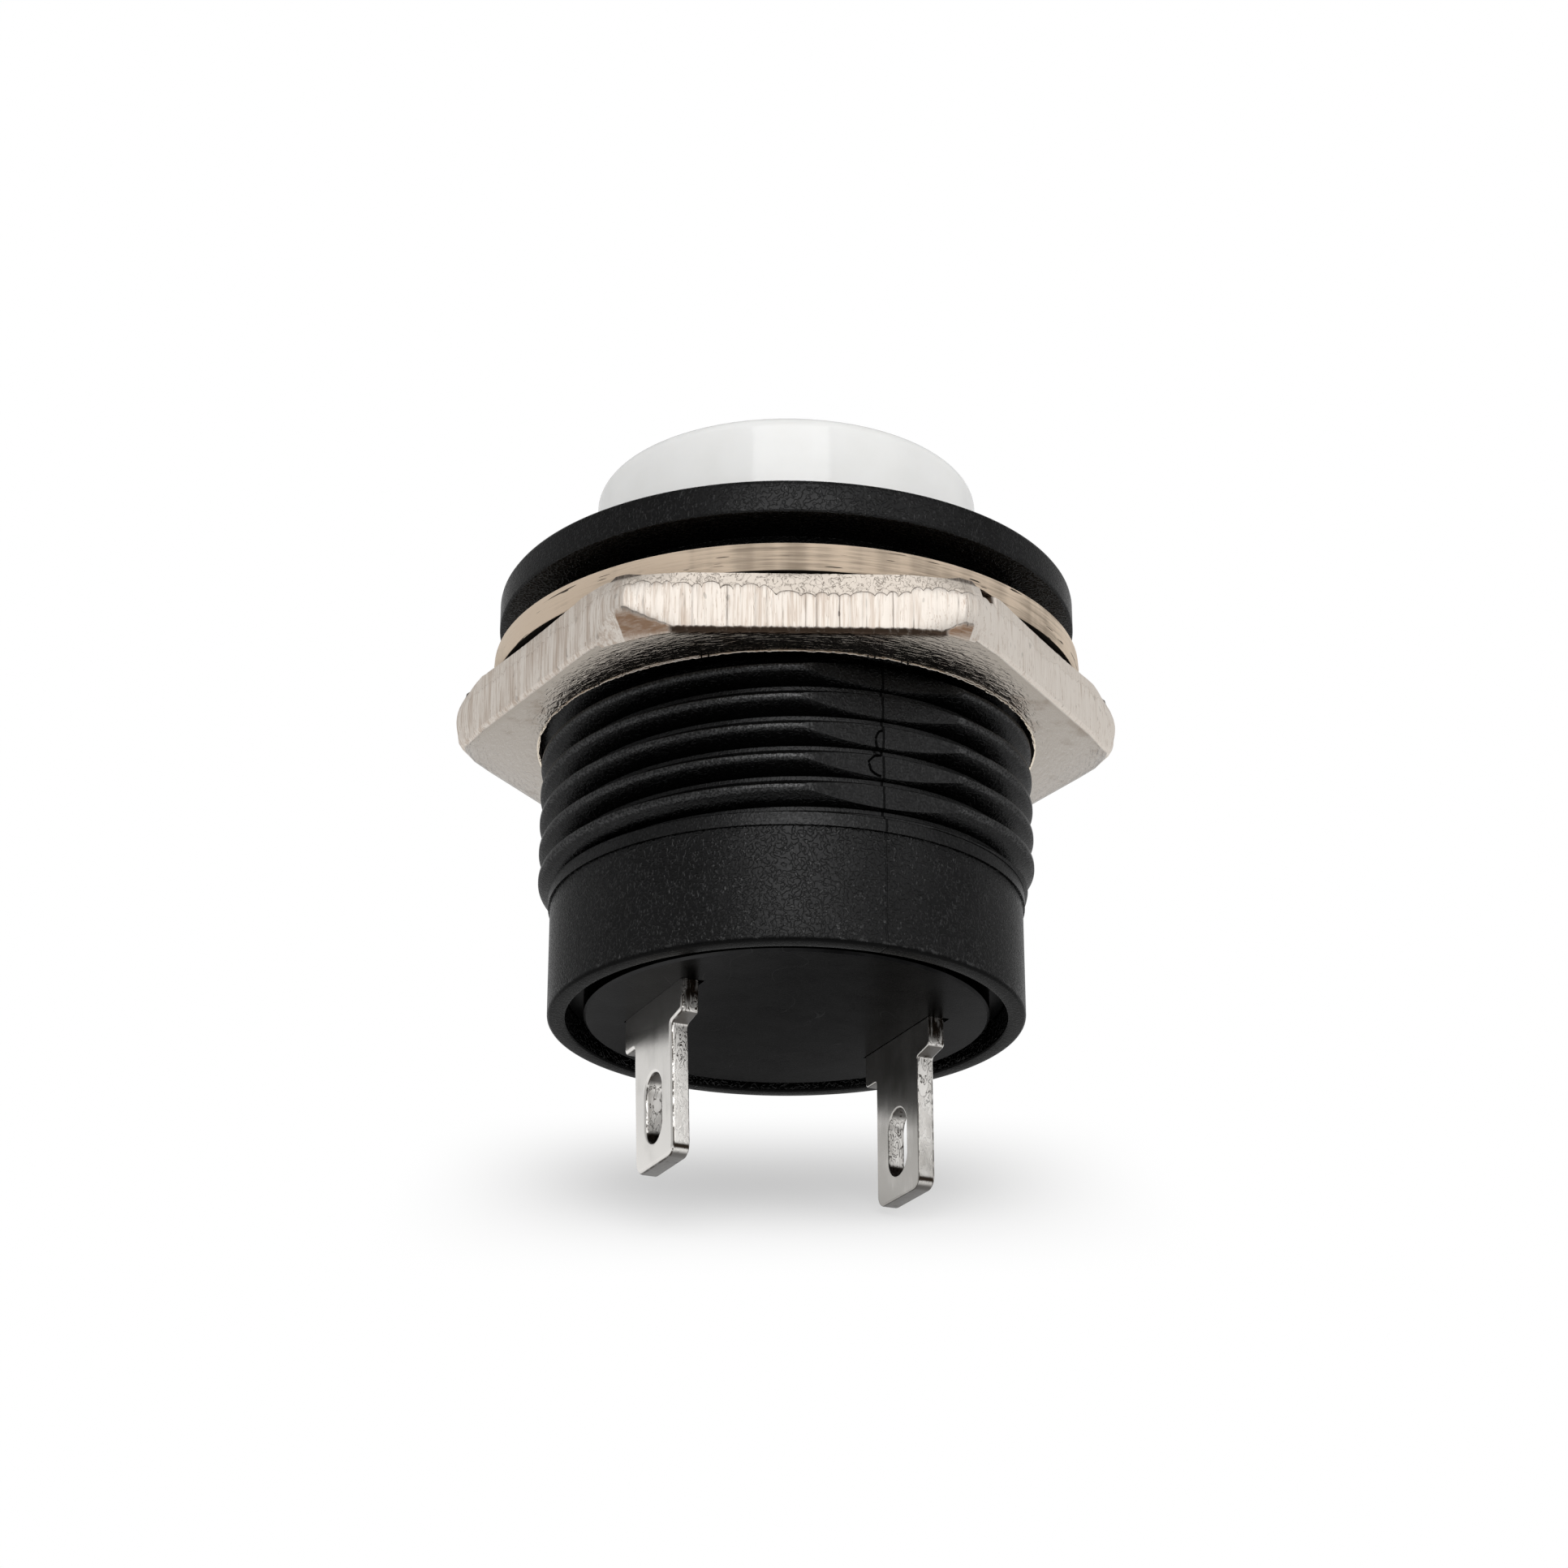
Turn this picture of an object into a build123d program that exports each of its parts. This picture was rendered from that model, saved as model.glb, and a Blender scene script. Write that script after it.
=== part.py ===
from build123d import *
import os
from math import cos, radians, tan

# Thread and flange, measured from the flange underside, which sits on the panel
thread_diameter = 16.0
thread_pitch = 1.0
thread_depth = 0.64
thread_root_width = 0.12
thread_angle = 60.0
thread_turns = 8
thread_lead = 0.42
neck_length = 1.1
neck_step = 0.2
thread_flat_depth = 0.5
flange_overhang = 1.5
flange_thickness = 1.14
flange_edge_radius = 0.2

# Plain body below the thread
barrel_wall = 0.89
collar_height = 0.69
collar_step = 0.34
body_step = 0.4
body_wall = 1.4
skirt_length = 3.7
rim_wall = 0.58
rim_edge_radius = 0.1

# Push cap and its stem
cap_clearance = 0.12
cap_height = 4.0
cap_dome = 0.15
cap_edge_radius = 0.4
cap_wall = 1.1
cap_top = 1.2
cap_guide = 1.8
press_travel = 2.0
bottoming_gap = 0.45
stem_diameter = 4.4
stem_clearance = 0.08
web_thickness = 1.2

# Split ring that stops the cap under the web
seat_gap = 0.02
stop_thickness = 0.6
stop_overhang = 1.3
stop_groove_depth = 0.45
stop_mouth = 3.0
shoulder_height = 0.6

# Contact disc, carried at the stem's thin end
tail_step = 0.7
tail_tip = 0.35
disc_thickness = 0.4
disc_clearance = 0.08
disc_margin = 0.15
clip_thickness = 0.4
clip_overhang = 0.8
clip_groove_depth = 0.35
clip_mouth = 2.0
contact_gap = 1.5

# Coil springs
return_wire = 0.5
return_gap = 1.2
return_turns = 6
contact_wire = 0.3
contact_spring_gap = 0.1
contact_turns = 4

# Base plate
plate_recess = 0.09
plate_thickness = 1.35
plate_flange_height = 0.6
plate_clearance = 0.04
plate_groove = 0.57
plate_edge = 0.08
slot_clearance = 0.08
well_clearance = 0.2

# Solder terminals and the contacts riveted to them
terminal_spacing = 8.49
terminal_thickness = 0.6
blade_width = 2.9
blade_drop = 5.35
root_width = 4.5
root_drop = 0.92
shoulder_drop = 0.1
blade_corner_radius = 0.3
bend_radius = 0.35
solder_slot_length = 2.4
solder_slot_width = 1.05
solder_slot_drop = 3.44
contact_radius = 0.75
contact_height = 0.4
contact_crown = 0.15
contact_inset = 0.55
contact_margin = 0.2
shank_radius = 0.4
shank_clearance = 0.02

# Washer and nut
washer_gap = 1.14
washer_thickness = 0.94
washer_clearance = 0.15
washer_ring = 1.5
washer_edge_radius = 0.06
nut_height = 2.0
nut_clearance = 0.08
nut_wall = 1.42
nut_corner_radius = 0.7
nut_lower_chamfer = 0.92
nut_upper_chamfer = 0.5
nut_turned = 6.5

# Radii that follow from the sizes above
thread_radius = thread_diameter / 2
neck_radius = thread_radius - neck_step
flange_radius = thread_radius + flange_overhang
cap_bore_radius = thread_radius - thread_depth - barrel_wall
cap_radius = cap_bore_radius - cap_clearance
body_radius = thread_radius - body_step
cavity_radius = body_radius - body_wall
recess_radius = body_radius - rim_wall
plate_radius = recess_radius - plate_clearance
boss_radius = recess_radius - plate_groove
stem_radius = stem_diameter / 2
tail_radius = stem_radius - tail_step
stop_groove_radius = stem_radius - stop_groove_depth
clip_groove_radius = tail_radius - clip_groove_depth
clip_radius = tail_radius + clip_overhang
washer_bore_radius = thread_radius + washer_clearance
washer_radius = washer_bore_radius + washer_ring
nut_bore_radius = thread_radius + nut_clearance
nut_flat_radius = nut_bore_radius + nut_wall
nut_corner_reach = nut_flat_radius / cos(radians(30))

# Places along X of the terminals and their contacts
terminal_x = terminal_spacing / 2
contact_x = terminal_x - contact_inset
pad_end_x = contact_x - contact_radius - contact_margin
disc_radius = contact_x + contact_radius + disc_margin

# Levels from the flange underside down through the thread and body
flank_slope = tan(radians(thread_angle / 2))
groove_half = thread_root_width / 2 + thread_depth * flank_slope
first_groove = -neck_length - thread_lead - groove_half
thread_end = first_groove - (thread_turns - 1) * thread_pitch
collar_bottom = thread_end - collar_height
rim_level = collar_bottom - skirt_length

# Levels of the cap and of what its stem carries
cap_edge_level = flange_thickness + cap_height
cap_ceiling = cap_edge_level - cap_top
skirt_level = flange_thickness - cap_guide
web_top = skirt_level - press_travel - bottoming_gap
web_bottom = web_top - web_thickness
stop_top = web_bottom - seat_gap
stop_bottom = stop_top - stop_thickness
shoulder_level = stop_bottom - seat_gap - shoulder_height

# Levels of the base plate and the contacts above it
plate_face = rim_level + plate_recess
plate_top = plate_face + plate_thickness
plate_step = plate_top - plate_flange_height
pad_top = plate_top + terminal_thickness
fixed_contact_top = pad_top + contact_height
disc_bottom = fixed_contact_top + contact_gap
disc_top = disc_bottom + disc_thickness
clip_top = disc_bottom - seat_gap
clip_bottom = clip_top - clip_thickness
stem_end = clip_bottom - seat_gap - tail_tip
well_floor = stem_end - press_travel - well_clearance

# Levels of the washer and the nut
washer_top = -washer_gap
washer_bottom = washer_top - washer_thickness
nut_bottom = washer_bottom - nut_height

os.makedirs("parts", exist_ok=True)


def circles_beyond(builder, radius):
    circles = builder.edges().filter_by(GeomType.CIRCLE)
    return circles.filter_by(lambda edge: edge.radius > radius)


# Housing: flange, barrel and body as one moulding with an inner web
with BuildPart() as housing:
    with BuildSketch(Plane.XZ):
        with BuildLine():
            Polyline(
                (cap_bore_radius, flange_thickness),
                (flange_radius, flange_thickness),
                (flange_radius, 0),
                (neck_radius, 0),
                (neck_radius, -neck_length),
                (thread_radius, -neck_length),
                (thread_radius, thread_end),
                (thread_radius - collar_step, thread_end),
                (thread_radius - collar_step, collar_bottom),
                (body_radius, collar_bottom),
                (body_radius, rim_level),
                (recess_radius, rim_level),
                (recess_radius, plate_top),
                (cavity_radius, plate_top),
                (cavity_radius, web_bottom),
                (stem_radius + stem_clearance, web_bottom),
                (stem_radius + stem_clearance, web_top),
                (cap_bore_radius, web_top),
                close=True,
            )
        make_face()
    revolve(axis=Axis.Z)
    fillet(circles_beyond(housing, (thread_radius + flange_radius) / 2), flange_edge_radius)
    rim_edges = housing.edges().filter_by(GeomType.CIRCLE).group_by(Axis.Z)[0]
    fillet(rim_edges, rim_edge_radius)
    # Thread grooves
    with BuildSketch(Plane.XZ):
        mouth_radius = thread_radius + thread_depth
        mouth_half = groove_half + thread_depth * flank_slope
        root_radius = thread_radius - thread_depth
        for turn in range(thread_turns):
            groove_level = first_groove - turn * thread_pitch
            with BuildLine():
                Polyline(
                    (mouth_radius, groove_level + mouth_half),
                    (root_radius, groove_level + thread_root_width / 2),
                    (root_radius, groove_level - thread_root_width / 2),
                    (mouth_radius, groove_level - mouth_half),
                    close=True,
                )
            make_face()
    revolve(axis=Axis.Z, mode=Mode.SUBTRACT)
    # Flats over the mould's parting line on two sides of the thread
    with BuildSketch(Plane.XY.offset(-neck_length)):
        for side in (-1, 1):
            with Locations((0, side * thread_radius)):
                Rectangle(thread_diameter, 2 * thread_flat_depth)
    extrude(amount=thread_end + neck_length, mode=Mode.SUBTRACT)
housing.part.label = "housing"
export_step(housing.part, "parts/housing.step")

# Push cap: a cup with a low crown, and the stem inside it
with BuildPart() as button_cap:
    with BuildSketch(Plane.XZ):
        with BuildLine():
            crown_edge = cap_radius - cap_edge_radius
            crown_radius = (crown_edge**2 + cap_dome**2) / (2 * cap_dome)
            Polyline(
                (0, cap_edge_level + cap_dome),
                (0, stem_end),
                (tail_radius, stem_end),
                (tail_radius, clip_bottom - seat_gap),
                (clip_groove_radius, clip_bottom - seat_gap),
                (clip_groove_radius, clip_top + seat_gap),
                (tail_radius, clip_top + seat_gap),
                (tail_radius, shoulder_level),
                (stem_radius, shoulder_level),
                (stem_radius, stop_bottom - seat_gap),
                (stop_groove_radius, stop_bottom - seat_gap),
                (stop_groove_radius, stop_top + seat_gap),
                (stem_radius, stop_top + seat_gap),
                (stem_radius, cap_ceiling),
                (cap_radius - cap_wall, cap_ceiling),
                (cap_radius - cap_wall, skirt_level),
                (cap_radius, skirt_level),
                (cap_radius, cap_edge_level - cap_edge_radius),
            )
            RadiusArc(
                (cap_radius, cap_edge_level - cap_edge_radius),
                (crown_edge, cap_edge_level),
                -cap_edge_radius,
            )
            RadiusArc(
                (crown_edge, cap_edge_level),
                (0, cap_edge_level + cap_dome),
                -crown_radius,
            )
        make_face()
    revolve(axis=Axis.Z)
button_cap.part.label = "button_cap"
export_step(button_cap.part, "parts/button_cap.step")

# Split rings that snap into the stem's grooves
split_rings = {
    "stop_ring": (stop_bottom, stop_thickness, stop_groove_radius, stem_radius + stop_overhang, stop_mouth),
    "disc_clip": (clip_bottom, clip_thickness, clip_groove_radius, clip_radius, clip_mouth),
}
for name, (level, thickness, groove_radius, outer_radius, mouth) in split_rings.items():
    with BuildPart() as split_ring:
        with BuildSketch(Plane.XY.offset(level)):
            Circle(outer_radius)
            Circle(groove_radius + seat_gap, mode=Mode.SUBTRACT)
            Rectangle(outer_radius, mouth, align=(Align.MIN, Align.CENTER), mode=Mode.SUBTRACT)
        extrude(amount=thickness)
    split_ring.part.label = name
    export_step(split_ring.part, f"parts/{name}.step")

# Coil springs, each between the two faces that it pushes apart
coils = {
    "return_spring": (web_top, cap_ceiling, stem_radius + return_gap, return_wire, return_turns),
    "contact_spring": (disc_top, shoulder_level, tail_radius + contact_spring_gap, contact_wire, contact_turns),
}
for name, (low, high, inner_radius, wire, turns) in coils.items():
    coil_radius = inner_radius + wire / 2
    coil_low = low + wire / 2 + seat_gap
    coil_height = high - low - wire - 2 * seat_gap
    with BuildPart() as coil:
        with BuildLine() as coil_path:
            Helix(coil_height / turns, coil_height, coil_radius, center=(0, 0, coil_low))
        with BuildSketch(Plane(origin=coil_path.line @ 0, z_dir=coil_path.line % 0)):
            Circle(wire / 2)
        sweep(path=coil_path.line, is_frenet=True)
    coil.part.label = name
    export_step(coil.part, f"parts/{name}.step")

# Contact disc that bridges the two fixed contacts
with BuildPart() as contact_disc:
    with BuildSketch(Plane.XY.offset(disc_bottom)):
        Circle(disc_radius)
        Circle(tail_radius + disc_clearance, mode=Mode.SUBTRACT)
    extrude(amount=disc_thickness)
contact_disc.part.label = "contact_disc"
export_step(contact_disc.part, "parts/contact_disc.step")

# Base plate: a stepped disc with two blade slots and a well for the stem's end
with BuildPart() as base_plate:
    with BuildSketch(Plane.XY.offset(plate_step)):
        Circle(plate_radius)
    extrude(amount=plate_flange_height)
    with BuildSketch(Plane.XY.offset(plate_face)):
        Circle(boss_radius)
    extrude(amount=plate_step - plate_face)
    chamfer(base_plate.edges().group_by(Axis.Z)[0], plate_edge)
    with BuildSketch(Plane.XY.offset(plate_face)):
        with Locations((-terminal_x, 0), (terminal_x, 0)):
            Rectangle(terminal_thickness + 2 * slot_clearance, root_width + 2 * slot_clearance)
    extrude(amount=plate_thickness, mode=Mode.SUBTRACT)
    with BuildSketch(Plane.XY.offset(plate_top)):
        Circle(clip_radius + well_clearance)
    extrude(amount=well_floor - plate_top, mode=Mode.SUBTRACT)
base_plate.part.label = "base_plate"
export_step(base_plate.part, "parts/base_plate.step")

# Solder terminals: a slotted blade, wider at its root, with a pad bent inwards over the plate
ear_level = plate_face - root_drop
neck_level = ear_level - shoulder_drop
tip_level = plate_face - blade_drop
solder_slot_level = plate_face - solder_slot_drop
for side, end_name in ((-1, "left"), (1, "right")):
    with BuildPart() as terminal:
        with BuildSketch(Plane.YZ.offset(side * terminal_x)):
            with BuildLine():
                Polyline(
                    (root_width / 2, pad_top),
                    (root_width / 2, ear_level),
                    (blade_width / 2, neck_level),
                    (blade_width / 2, tip_level),
                    (-blade_width / 2, tip_level),
                    (-blade_width / 2, neck_level),
                    (-root_width / 2, ear_level),
                    (-root_width / 2, pad_top),
                    close=True,
                )
            blade = make_face()
            fillet(blade.vertices().group_by(Axis.Y)[0], blade_corner_radius)
            with Locations((0, solder_slot_level)):
                SlotOverall(solder_slot_length, solder_slot_width, rotation=90, mode=Mode.SUBTRACT)
        extrude(amount=terminal_thickness / 2, both=True)
        with BuildSketch(Plane.XY.offset(plate_top)):
            with Locations((side * (pad_end_x + terminal_x) / 2, 0)):
                Rectangle(terminal_x - pad_end_x, root_width)
        extrude(amount=terminal_thickness)
        bend = terminal.edges().filter_by(Axis.Y).group_by(Axis.Z)[-1]
        fillet(bend.sort_by(Axis.X)[0 if side < 0 else -1], bend_radius)
        with Locations((side * contact_x, 0, pad_top)):
            Hole(shank_radius + shank_clearance, depth=terminal_thickness)
    terminal.part.label = f"terminal_{end_name}"
    export_step(terminal.part, f"parts/terminal_{end_name}.step")

    with BuildPart() as fixed_contact:
        with BuildSketch(Plane.XY.offset(pad_top)):
            with Locations((side * contact_x, 0)):
                Circle(contact_radius)
        extrude(amount=contact_height)
        fillet(fixed_contact.edges().group_by(Axis.Z)[-1], contact_crown)
        with BuildSketch(Plane.XY.offset(plate_top)):
            with Locations((side * contact_x, 0)):
                Circle(shank_radius)
        extrude(amount=terminal_thickness)
    fixed_contact.part.label = f"fixed_contact_{end_name}"
    export_step(fixed_contact.part, f"parts/fixed_contact_{end_name}.step")

# Washer behind the panel
with BuildPart() as washer:
    with BuildSketch(Plane.XY.offset(washer_bottom)):
        Circle(washer_radius)
        Circle(washer_bore_radius, mode=Mode.SUBTRACT)
    extrude(amount=washer_thickness)
    fillet(circles_beyond(washer, (washer_bore_radius + washer_radius) / 2), washer_edge_radius)
washer.part.label = "washer"
export_step(washer.part, "parts/washer.step")

# Panel nut: hexagon with its corners turned off at both rims
with BuildPart() as hex_nut:
    with BuildSketch(Plane.XY.offset(nut_bottom)):
        RegularPolygon(nut_flat_radius, 6, major_radius=False, rotation=nut_turned + 30)
        Circle(nut_bore_radius, mode=Mode.SUBTRACT)
    extrude(amount=nut_height)
    fillet(hex_nut.edges().filter_by(Axis.Z).filter_by(GeomType.LINE), nut_corner_radius)
    with BuildSketch(Plane.XZ):
        with BuildLine():
            Polyline(
                (nut_bore_radius, nut_bottom),
                (nut_corner_reach - nut_lower_chamfer, nut_bottom),
                (nut_corner_reach, nut_bottom + nut_lower_chamfer),
                (nut_corner_reach, washer_bottom - nut_upper_chamfer),
                (nut_corner_reach - nut_upper_chamfer, washer_bottom),
                (nut_bore_radius, washer_bottom),
                close=True,
            )
        make_face()
    revolve(axis=Axis.Z, mode=Mode.INTERSECT)
hex_nut.part.label = "hex_nut"
export_step(hex_nut.part, "parts/hex_nut.step")
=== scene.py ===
import math
import random

import bmesh
import bpy
from mathutils import Matrix, Vector, noise


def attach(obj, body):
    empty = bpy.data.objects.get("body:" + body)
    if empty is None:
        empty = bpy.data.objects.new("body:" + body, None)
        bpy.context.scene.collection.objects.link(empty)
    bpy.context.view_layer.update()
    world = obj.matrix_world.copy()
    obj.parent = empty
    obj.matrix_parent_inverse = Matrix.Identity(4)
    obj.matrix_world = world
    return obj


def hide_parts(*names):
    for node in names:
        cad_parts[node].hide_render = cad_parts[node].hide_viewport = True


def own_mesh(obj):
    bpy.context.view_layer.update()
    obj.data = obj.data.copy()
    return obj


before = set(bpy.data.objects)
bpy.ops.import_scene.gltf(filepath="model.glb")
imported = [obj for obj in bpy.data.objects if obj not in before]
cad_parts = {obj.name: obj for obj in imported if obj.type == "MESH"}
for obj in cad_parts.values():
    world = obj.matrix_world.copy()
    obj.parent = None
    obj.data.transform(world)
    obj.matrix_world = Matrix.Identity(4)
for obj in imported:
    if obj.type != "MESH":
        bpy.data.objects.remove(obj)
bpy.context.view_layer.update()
print("frame loaded:", len(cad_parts), "solids")

mm = 0.001
white = (1, 1, 1, 1)
scene = bpy.context.scene


class Wire:  # one socket of a shader tree, so that a finish is written as sums
    def __init__(self, tree, socket=None):
        self.tree = tree
        self.socket = socket

    def node(self, kind, settings=None, inputs=None, out=0):
        made = self.tree.nodes.new("ShaderNode" + kind)
        for name, value in (settings or {}).items():
            setattr(made, name, value)
        for name, value in (inputs or {}).items():
            if isinstance(value, Wire):
                self.tree.links.new(value.socket, made.inputs[name])
            else:
                made.inputs[name].default_value = value
        return Wire(self.tree, made.outputs[out])

    def side(self, out):  # another output of the same node
        return Wire(self.tree, self.socket.node.outputs[out])

    def calc(self, operation, first, second):
        kinds = {item.socket.type for item in (first, second) if isinstance(item, Wire)}
        if not kinds & {"VECTOR", "RGBA"}:
            return self.node("Math", {"operation": operation}, {0: first, 1: second})
        alpha = () if "VECTOR" in kinds else (1,)
        pair = [item if isinstance(item, (Wire, tuple)) else (item,) * 3 + alpha for item in (first, second)]
        if "VECTOR" in kinds:
            return self.node("VectorMath", {"operation": operation}, dict(enumerate(pair)))
        settings = {"data_type": "RGBA", "blend_type": operation}
        return self.node("Mix", settings, {0: 1.0, 6: pair[0], 7: pair[1]}, 2)

    def __add__(self, other):
        return self.calc("ADD", self, other)

    def __radd__(self, other):
        return self.calc("ADD", other, self)

    def __sub__(self, other):
        return self.calc("SUBTRACT", self, other)

    def __rsub__(self, other):
        return self.calc("SUBTRACT", other, self)

    def __mul__(self, other):
        return self.calc("MULTIPLY", self, other)

    def __rmul__(self, other):
        return self.calc("MULTIPLY", other, self)

    def __abs__(self):
        return self.node("Math", {"operation": "ABSOLUTE"}, {0: self})

    def step(self, low, high):  # 0 below low, 1 above high, smooth between
        inputs = {"Value": self, "From Min": low, "From Max": high}
        return self.node("MapRange", {"interpolation_type": "SMOOTHSTEP"}, inputs)

    def band(self, centre, near, far):  # 1 within near of the centre, 0 beyond far
        return 1 - abs(self - centre).step(near, far)

    def tint(self, first, second):  # this value mixes two colours
        return self.node("Mix", {"data_type": "RGBA"}, {0: self, 6: first, 7: second}, 2)

    def blend(self, first, second):  # this value mixes two shaders
        return self.node("MixShader", {}, {0: self, 1: first, 2: second})

    def grain(self, scale, detail=2.0, rough=0.5, bend=0.0):  # noise over this vector
        inputs = {"Vector": self, "Scale": scale, "Detail": detail, "Roughness": rough, "Distortion": bend}
        return self.node("TexNoise", {}, inputs)

    def part(self, axis):  # one number of this vector
        return self.node("SeparateXYZ", {}, {0: self}, axis)

    def along(self, way):  # how far this vector goes one way
        return self.node("VectorMath", {"operation": "DOT_PRODUCT"}, {0: self, 1: way}, "Value")

    def reach(self):  # distance from the Z axis
        return self.node("VectorMath", {"operation": "LENGTH"}, {0: self * (1, 1, 0)}, "Value")

    def outward(self):  # unit vector away from the Z axis
        return self.node("VectorMath", {"operation": "NORMALIZE"}, {0: self * (1, 1, 0)})


def startFinish(name, constants):
    finish = bpy.data.materials.new(name)
    finish.use_nodes = True
    shader = finish.node_tree.nodes["Principled BSDF"]
    for socketName, value in constants.items():
        shader.inputs[socketName].default_value = value
    root = Wire(finish.node_tree)
    place = root.node("TexCoord", out="Object") * (1 / mm)  # millimetres from here on
    return finish, shader, root, place


def feed(root, shader, links):
    for socketName, wire in links.items():
        root.tree.links.new(wire.socket, shader.inputs[socketName])


def bumped(root, height, distance, normal=None):
    inputs = {"Height": height, "Distance": distance * mm}
    return root.node("Bump", {}, {**inputs, "Normal": normal} if normal else inputs)


def painted(root, layerName):  # a value kept in the mesh
    return root.node("Attribute", {"attribute_name": layerName}, {}, "Fac")


def swept(root, around, across):  # a vector whose noise runs round the axis
    return root.node("CombineXYZ", {}, {"Z": across}) + around


def facingDown(root, low, high):
    return (root.node("TexCoord", out="Normal").part("Z") * -1).step(low, high)


def spotAt(radius, angle, level=0.0):
    return Vector((radius * math.cos(angle), radius * math.sin(angle), level))


def ease(value, low, high):
    share = min(1, max(0, (value - low) / (high - low)))
    return share * share * (3 - 2 * share)


def roundedPath(corners, steps=4):  # closed, through corners of (across, along, rounding)
    path = []
    for index, (across, along, rounding) in enumerate(corners):
        here = Vector((across, along))
        if rounding == 0:
            path.append(here)
            continue
        before = (Vector(corners[index - 1][:2]) - here).normalized()
        after = (Vector(corners[(index + 1) % len(corners)][:2]) - here).normalized()
        half = before.angle(after) / 2
        centre = here + (before + after).normalized() * (rounding / math.sin(half))
        first = here + before * (rounding / math.tan(half)) - centre
        last = here + after * (rounding / math.tan(half)) - centre
        sweep = first.angle(last)
        for step in range(steps + 1):
            share = step / steps
            arm = first * math.sin((1 - share) * sweep) + last * math.sin(share * sweep)
            path.append(centre + arm / math.sin(sweep))
    return path


def splitLong(path, limit):  # open path with no step longer than the limit
    fine = [path[0]]
    for start, end in zip(path, path[1:]):
        count = max(1, math.ceil((end - start).length / limit))
        fine += [start.lerp(end, step / count) for step in range(1, count + 1)]
    return fine


def addSkin(shape, columns):  # closed both along and across the columns
    rows = len(columns[0])
    for index, column in enumerate(columns):
        following = columns[(index + 1) % len(columns)]
        for row in range(rows):
            above = (row + 1) % rows
            shape.faces.new((column[row], following[row], following[above], column[above]))


def addLathe(shape, path, count):
    columns = []
    for index in range(count):
        turn = 2 * math.pi * index / count
        columns.append([shape.verts.new(spotAt(radius, turn, level)) for radius, level in path])
    addSkin(shape, columns)


def joinRings(shape, rings):
    for ring, following in zip(rings, rings[1:]):
        for index in range(len(ring)):
            other = (index + 1) % len(ring)
            shape.faces.new((ring[index], ring[other], following[other], following[index]))


def addTube(shape, points, radius, sides, mark=None):
    rings = []
    for index, point in enumerate(points):
        ahead = points[min(index + 1, len(points) - 1)] - points[max(index - 1, 0)]
        turn = ahead.to_track_quat("Z", "Y")
        ring = []
        for side in range(sides):
            arm = turn @ spotAt(1, 2 * math.pi * side / sides) * radius
            ring.append(shape.verts.new(point + arm))
            if mark:
                ring[-1][mark] = 1.0
        rings.append(ring)
    joinRings(shape, rings)
    shape.faces.new(rings[0][::-1])
    shape.faces.new(rings[-1])


def addObject(name, data):
    made = bpy.data.objects.new(name, data)
    scene.collection.objects.link(made)
    return made


def meshOf(name, shape):
    mesh = bpy.data.meshes.new(name)
    shape.to_mesh(mesh)
    shape.free()
    return mesh


def makePiece(name, shape, finish, body, sharpAngle):
    bmesh.ops.remove_doubles(shape, verts=shape.verts, dist=1e-5)
    bmesh.ops.recalc_face_normals(shape, faces=shape.faces)
    for face in shape.faces:
        face.smooth = True
    for edge in shape.edges:
        edge.smooth = len(edge.link_faces) == 2 and edge.calc_face_angle(0) < math.radians(sharpAngle)
    shape.transform(Matrix.Scale(mm, 4))
    mesh = meshOf(name, shape)
    piece = addObject(name, mesh)
    mesh.materials.append(finish)
    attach(piece, body)
    print("made", name, "with", len(mesh.polygons), "faces")
    return piece


def dress(nodeName, finish):  # a CAD solid keeps its shape and takes a finish
    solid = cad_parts[nodeName]
    solid.data.materials.clear()
    solid.data.materials.append(finish)
    print("dressed", nodeName)


# Black moulding: barrel, flange and body
moulding = {
    "flangeRadius": 9.5, "flangeTop": 1.14, "flangeEdge": 0.2, "flangeUnderEdge": 0.09,
    "neckRadius": 7.8, "neckEnd": -1.1, "coreRadius": 7.2,
    "collarRadius": 7.66, "collarTop": -9.2, "collarEnd": -9.64, "collarEdge": 0.04,
    "bodyRadius": 7.6, "rimLevel": -13.34, "rimEdge": 0.1, "rimInner": 7.02, "rimInnerEdge": 0.06,
    "plateSeat": -11.9, "cavityRadius": 6.2, "webBottom": -4.31, "webTop": -3.11,
    "stemHole": 2.28, "boreRadius": 6.47, "boreEdge": 0.08, "columns": 300, "seamTurn": -91.0,
}
thread = {
    "pitch": 1.0, "crest": 8.0, "root": 7.36, "crestHalf": 0.07, "rootHalf": 0.06, "edge": 0.05,
    "crestAt": -8.197, "top": moulding["neckEnd"], "bottom": moulding["collarTop"], "inner": 6.9,
    "endRadius": moulding["collarRadius"], "endSlope": 1.2, "flatReach": 7.5,
    "columns": 360, "longestStep": 0.14,
    "curls": ((-6.6, 0.36, 0.12, 0.22), (-7.42, 0.34, 0.18, 0.4)),  # flash: level, radius, start and width
    "curlWire": 0.04, "curlSteps": 12, "curlWobble": 0.12,
}
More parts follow.
